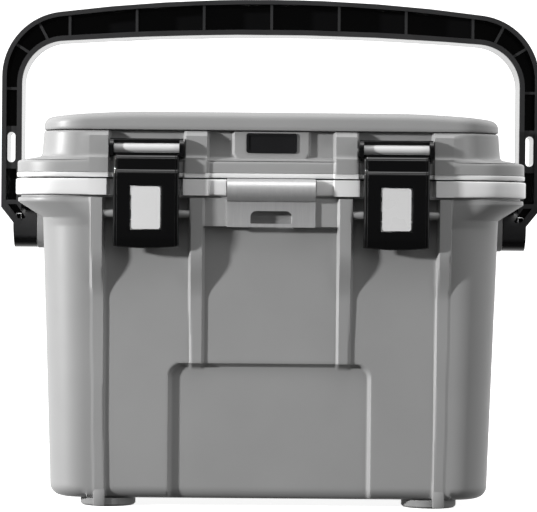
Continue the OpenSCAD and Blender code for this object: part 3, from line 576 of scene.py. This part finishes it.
def make_lid_shell():
    rows = [ring(*section) for section in LID_INSIDE]
    hw, hd, r = SKIRT
    for back, z in SKIRT_ROWS:
        rows.append(ring(hw - back, hd - back, r, z, lid_front))
    for a in (25, 50, 75):
        back = SKIRT_EDGE * (1 - cos(radians(a)))
        z = SKIRT_TOP + SKIRT_EDGE * sin(radians(a))
        rows.append(ring(hw - back, hd - back, r - back, z, lid_front))
    wall = [between(*SHOULDER, t) for t in steps(0.0, 1.0, 1 / 8)]
    wall += SHOULDER_CORNER
    wall += [between(*LID_WALL, t) for t in steps(0.0, 1.0, 1 / 11)]
    wall += LID_WALL_TOP
    rows += [ring(*section, lid_front) for section in wall]
    rows += [ring(*SEAM_SECTION, SEAM_Z), ring(*SEAM_SECTION, SEAM_Z + SEAM_LIP)]
    return new_piece("lid_shell_moulding", *skin(rows), "lid", "grey_shell",
                     replaces=["lid_shell"])


CAP, CAP_EDGE = (182.3, 130.4, 34.0), 6.0
# how far the cap's foot is set back, how much smaller its radius is, and its height
CAP_FOOT = ((4.0, 4.0, 300.2), (1.0, 0.0, 300.2), (0.3, 0.0, 300.5), (0.0, 0.0, 301.2))
# the top runs in from its edge's inner line to a section near the middle
CAP_TOP = ((176.3, 124.4, 28.0), (152.0, 88.0, 4.0))
CROWN_Z, CROWN_DROP, CROWN_FLAT, CROWN_END = 314.8, 4.4, 96.0, 178.0


def crown(x):
    """Height of the cap's top surface across its width."""
    t = max(0.0, (abs(x) - CROWN_FLAT) / (CROWN_END - CROWN_FLAT))
    return CROWN_Z - CROWN_DROP * t ** 1.8


def cap_ring(hw, hd, r, drop):
    """A row of the cap that far under the crowned surface."""
    return [(x, y, crown(x) - drop) for x, y, _ in ring(hw, hd, r, 0.0)]


def make_cap():
    hw, hd, r = CAP
    rows = [ring(hw - back, hd - back, r - less, z) for back, less, z in CAP_FOOT]
    foot = rows[-1]
    for t in (0.33, 0.66):
        rows.append([(x, y, lerp(z, crown(x) - CAP_EDGE, t)) for x, y, z in foot])
    turns = 10
    for i in range(turns + 1):
        a = radians(90 * i / turns)
        back = CAP_EDGE * (1 - cos(a))
        rows.append(cap_ring(hw - back, hd - back, r - back * 0.8, CAP_EDGE * (1 - sin(a))))
    for t in steps(0.0, 1.0, 0.1)[1:]:
        rows.append(cap_ring(*between(*CAP_TOP, t), 0.0))
    return new_piece("lid_cap_moulding", *skin(rows), "lid", "grey_shell", replaces=["lid_cap"])


# ---------------------------------------------------------------- latch levers

LATCH_X = 98.8
LEVER_HALF, LEVER_BACK, LEVER_REACH, LEVER_TOP = 26.0, 134.8, 140.6, 281.8
HOLLOW_HALF, HOLLOW_LOW, HOLLOW_TOP, LEVER_WALL = 23.4, 212.5, 278.0, 3.0
POCKET_HALF, POCKET_LOW, POCKET_TOP, POCKET_SUNK = 12.3, 220.8, 255.6, 0.4
# the toe bends back below these heights and ends in an arc
TOE_Z, TOE_BEND_Z, TOE_TIP_Z = 216.0, 226.0, 214.0
TOE_ARC_Z, TOE_ARC_R, TOE_EDGE = 417.3, 211.0, 1.2
# each step: where it starts, how far it comes forward, over what height
LEVER_STEPS = ((279.4, 0.75, 1.0), (277.8, 0.6, 0.5), (277.0, 1.0, 0.4),
               (268.3, 0.7, 1.0), (266.7, 0.6, 0.5), (266.0, 0.7, 0.4))
# rounded side: a fine line, a slope and a steeper edge, by distance from the lever's middle
LINE_X, SLOPE_X, EDGE_X = 22.9, 24.2, 25.6


def lever_reach(dx, z):
    """Reach of the lever's face: two steps down to a tapered toe, with rounded sides."""
    reach = LEVER_REACH
    for edge_z, rise, run in LEVER_STEPS:
        reach += rise * share(edge_z - z, 0.0, run)
    if z < TOE_BEND_Z:
        reach -= 1.4 * smooth((TOE_BEND_Z - z) / 14) + 3.6 * max(0.0, (TOE_TIP_Z - z) / 8)
    reach -= smooth((abs(dx) - LINE_X) / 0.6)
    reach -= 0.68 * max(0.0, min(abs(dx), EDGE_X) - SLOPE_X)
    return reach - 3.0 * max(0.0, abs(dx) - EDGE_X)


def lever_columns():
    """Places across the lever, closer together at the pocket and at the round sides."""
    half = [0.0, 3, 6, 9, 11.6, POCKET_HALF, 12.8, 16, 20, 22.6, LINE_X, 23.2, HOLLOW_HALF]
    half += [24.1, 24.3, 25.55, 25.65, LEVER_HALF]
    return [-x for x in reversed(half)] + half[1:]


def lever_heights():
    """Heights down the lever, closer together at its two steps."""
    heights = [LEVER_TOP, 281.5, 280.4] + steps(279.4, 276.6, 0.2) + steps(275, 269.6, 1.8)
    heights += steps(268.4, 265.4, 0.2) + [262, 258, 256.2, POCKET_TOP] + steps(252, 224, 4)
    return heights + [POCKET_LOW, 219.4, TOE_Z]


def lever_row(cols, inner_cols, z, t):
    """One loop round the lever: its face, then its back. t runs from the face's end to the toe."""
    face = []
    for x in cols:
        at = lerp(z, TOE_ARC_Z - sqrt(TOE_ARC_R ** 2 - x * x), t)
        in_pocket = abs(x) == POCKET_HALF and POCKET_LOW <= z <= POCKET_TOP
        sunk = POCKET_SUNK if in_pocket else 0.0
        sunk += TOE_EDGE * (1 - sqrt(1 - share(t, 0.8, 1.0) ** 2))
        face.append((x, -(lever_reach(x, at) - sunk), at))
    hollow = HOLLOW_LOW < z < HOLLOW_TOP and t < 0.3
    first, last = face[0][2], face[-1][2]
    back = [(LEVER_HALF, -LEVER_BACK, last), (HOLLOW_HALF, -LEVER_BACK, last)]
    for x in reversed(inner_cols):
        at = face[cols.index(x)][2]
        deep = lever_reach(0.0, at) - LEVER_WALL if hollow else LEVER_BACK + 0.01
        back.append((x, -deep, at))
    back += [(-HOLLOW_HALF, -LEVER_BACK, first), (-LEVER_HALF, -LEVER_BACK, first)]
    return face + back


def make_lever(side):
    """Lever with two steps, round side edges, a hollow back and a hole for the button."""
    cols, heights = lever_columns(), lever_heights()
    inner_cols = [x for x in cols if abs(x) <= HOLLOW_HALF]
    rows = [(z, 0.0) for z in heights] + [(TOE_Z, t) for t in steps(0.2, 1.0, 0.1)]
    verts, grid = [], []
    for z, t in rows:
        line = lever_row(cols, inner_cols, z, t)
        grid.append(range(len(verts), len(verts) + len(line)))
        verts += line

    def inner_index(x):
        return len(cols) + 2 + len(inner_cols) - 1 - inner_cols.index(x)

    left, right = cols.index(-POCKET_HALF), cols.index(POCKET_HALF)
    in_left, in_right = inner_index(-POCKET_HALF), inner_index(POCKET_HALF)
    count = len(grid[0])
    faces = [tuple(grid[0]), tuple(grid[-1])]
    for j in range(len(grid) - 1):
        upper, lower = grid[j], grid[j + 1]
        open_row = POCKET_LOW < rows[j][0] <= POCKET_TOP and rows[j][1] == 0.0
        for i in range(count):
            if open_row and (left <= i < right or in_right <= i < in_left):
                continue
            k = (i + 1) % count
            faces.append((upper[i], upper[k], lower[k], lower[i]))
        if open_row:
            for a, b in ((left, in_left), (right, in_right)):
                faces.append((upper[a], upper[b], lower[b], lower[a]))
    for j in (heights.index(POCKET_TOP), heights.index(POCKET_LOW)):
        for x0, x1 in zip(cols[left:right], cols[left + 1:right + 1]):
            faces.append((grid[j][cols.index(x0)], grid[j][cols.index(x1)],
                          grid[j][inner_index(x1)], grid[j][inner_index(x0)]))
    name = "left" if side < 0 else "right"
    placed = [(x + side * LATCH_X, y, z) for x, y, z in verts]
    return new_piece("latch_lever_face_" + name, placed, faces, "latch_" + name, "black_plastic",
                     replaces=["latch_lever_" + name], sharp=30)


# ---------------------------------------------------------------- CAD nodes that stay

FLAT_ANGLE, SHARP_ANGLE = radians(1.0), radians(35)


def finish_node(name, edge):
    """Dress a CAD node: its material, and edges rounded by that many millimetres."""
    obj = bpy.data.objects[name]
    obj.data.materials.clear()
    obj.data.materials.append(OWN_MATERIAL.get(name) or materials[slot_of[name]])
    if edge:
        flat = obj.modifiers.new("flats", "DECIMATE")
        flat.decimate_type = "DISSOLVE"
        flat.angle_limit = FLAT_ANGLE
        bevel = obj.modifiers.new("edges", "BEVEL")
        bevel.width = edge * MM
        bevel.segments = 2
        bevel.limit_method = "ANGLE"
        bevel.angle_limit = SHARP_ANGLE
        bevel.harden_normals = True


# rounded edges in millimetres, for a node or for all its copies
EDGES = {
    "handle_frame": 0.6, "pivot_cap": 0.4, "pivot_hub": 0.6, "latch_yoke": 0.6,
    "latch_bracket": 0.4, "release_button": 0.5, "lock_plate": 0.3, "name_plate": 0.3,
    "hinge_block": 0.5, "hinge_strap": 0.5, "foot": 2.2,
}
PLACES = {"left", "right", "front", "rear"}
OWN_MATERIAL = {"handle_frame": handle_plastic()}
REPLACED = {
    "outer_shell", "front_ribs", "front_apron", "rim_frame", "lid_trim", "lid_shell",
    "lid_cap", "latch_lever_left", "latch_lever_right",
}


def family(node):
    """A node's name without the words that tell its copies apart."""
    return "_".join(word for word in node.split("_") if word not in PLACES)


make_base_shell()
make_rim()
make_lid_band()
make_lid_shell()
make_cap()
for latch_side in (-1, 1):
    make_lever(latch_side)
for node in slot_of:
    if node not in REPLACED:
        finish_node(node, EDGES.get(family(node), 0.0))


# ---------------------------------------------------------------- studio

FLOOR_HALF, PAPER_VALUE, PAPER_GLOW = 6.0, 0.93, 0.85
WHITE = (1.0, 1.0, 1.0, 1.0)
MIDDLE = (0, 0, 0.2)


def floor_paper():
    """Plain matt paper that glows a little, so that it stays white."""
    s = Shader("floor_paper")
    s.bsdf.inputs["Base Color"].default_value = (PAPER_VALUE, PAPER_VALUE, PAPER_VALUE, 1.0)
    s.bsdf.inputs["Roughness"].default_value = 0.9
    s.bsdf.inputs["Specular IOR Level"].default_value = 0.1
    s.bsdf.inputs["Emission Color"].default_value = WHITE
    s.bsdf.inputs["Emission Strength"].default_value = PAPER_GLOW
    return s.material


def make_floor():
    """A floor that neither lights the cooler nor shows in its gloss."""
    half = FLOOR_HALF
    mesh = bpy.data.meshes.new("studio_floor")
    mesh.from_pydata([(-half, -half, 0), (half, -half, 0), (half, half, 0), (-half, half, 0)],
                     [], [(0, 1, 2, 3)])
    floor = bpy.data.objects.new("studio_floor", mesh)
    bpy.context.scene.collection.objects.link(floor)
    mesh.materials.append(floor_paper())
    floor.visible_diffuse = False
    floor.visible_glossy = False


def area_light(name, place, size, power, mirrored=True):
    """A rectangular light that looks at the middle of the cooler."""
    data = bpy.data.lights.new(name, "AREA")
    data.shape = "RECTANGLE"
    data.size, data.size_y = size
    data.energy = power
    light = bpy.data.objects.new(name, data)
    light.location = place
    light.visible_glossy = mirrored
    light.rotation_euler = (Vector(MIDDLE) - Vector(place)).to_track_quat("-Z", "Y").to_euler()
    bpy.context.scene.collection.objects.link(light)


# the world's brightness follows its height and how far back it is
SKY_LIFT = 0.9
SKY_RANGE = {"From Min": -0.6, "From Max": 1.2, "To Min": 0.05, "To Max": 1.6}


def make_world():
    """White all round, dimmer behind the camera so that black gloss stays black."""
    world = bpy.data.worlds.new("studio")
    bpy.context.scene.world = world
    world.use_nodes = True
    tree = world.node_tree
    coords = tree.nodes.new("ShaderNodeTexCoord")
    split = tree.nodes.new("ShaderNodeSeparateXYZ")
    ramp = tree.nodes.new("ShaderNodeMapRange")
    tree.links.new(coords.outputs["Generated"], split.inputs["Vector"])
    lifted = tree.nodes.new("ShaderNodeMath")
    lifted.operation = "MULTIPLY_ADD"
    lifted.inputs[1].default_value = SKY_LIFT
    tree.links.new(split.outputs["Z"], lifted.inputs[0])
    tree.links.new(split.outputs["Y"], lifted.inputs[2])
    tree.links.new(lifted.outputs[0], ramp.inputs["Value"])
    for key, value in SKY_RANGE.items():
        ramp.inputs[key].default_value = value
    background = tree.nodes["Background"]
    tree.links.new(ramp.outputs["Result"], background.inputs["Strength"])
    background.inputs["Color"].default_value = WHITE


CAMERA_PLACE, CAMERA_TARGET = Vector((-0.018, -2.265, 0.220)), Vector((-0.0008, 0.0, 0.1998))
CAMERA_LENS, CAMERA_ROLL = 180.66, radians(0.5)


def make_camera():
    """Level frontal view from far away, a little to the left and slightly rolled."""
    data = bpy.data.cameras.new("camera")
    data.sensor_width = 36.0
    data.lens = CAMERA_LENS
    data.clip_end = 50.0
    camera = bpy.data.objects.new("camera", data)
    aim = (CAMERA_TARGET - CAMERA_PLACE).to_track_quat("-Z", "Y")
    camera.matrix_world = aim.to_matrix().to_4x4()
    camera.location = CAMERA_PLACE
    camera.rotation_euler.rotate_axis("Z", CAMERA_ROLL)
    bpy.context.scene.collection.objects.link(camera)
    bpy.context.scene.camera = camera


bpy.context.scene.view_settings.view_transform = "Standard"
make_floor()
make_world()
area_light("key", place=(-2.76, -1.25, 0.77), size=(0.18, 0.18), power=122.0)
area_light("sky", place=(0.3, -0.9, 2.6), size=(1.8, 1.2), power=18.0)
area_light("fill", place=(2.1, -1.4, 0.6), size=(1.2, 1.2), power=11.0, mirrored=False)
make_camera()

bpy.context.view_layer.update()
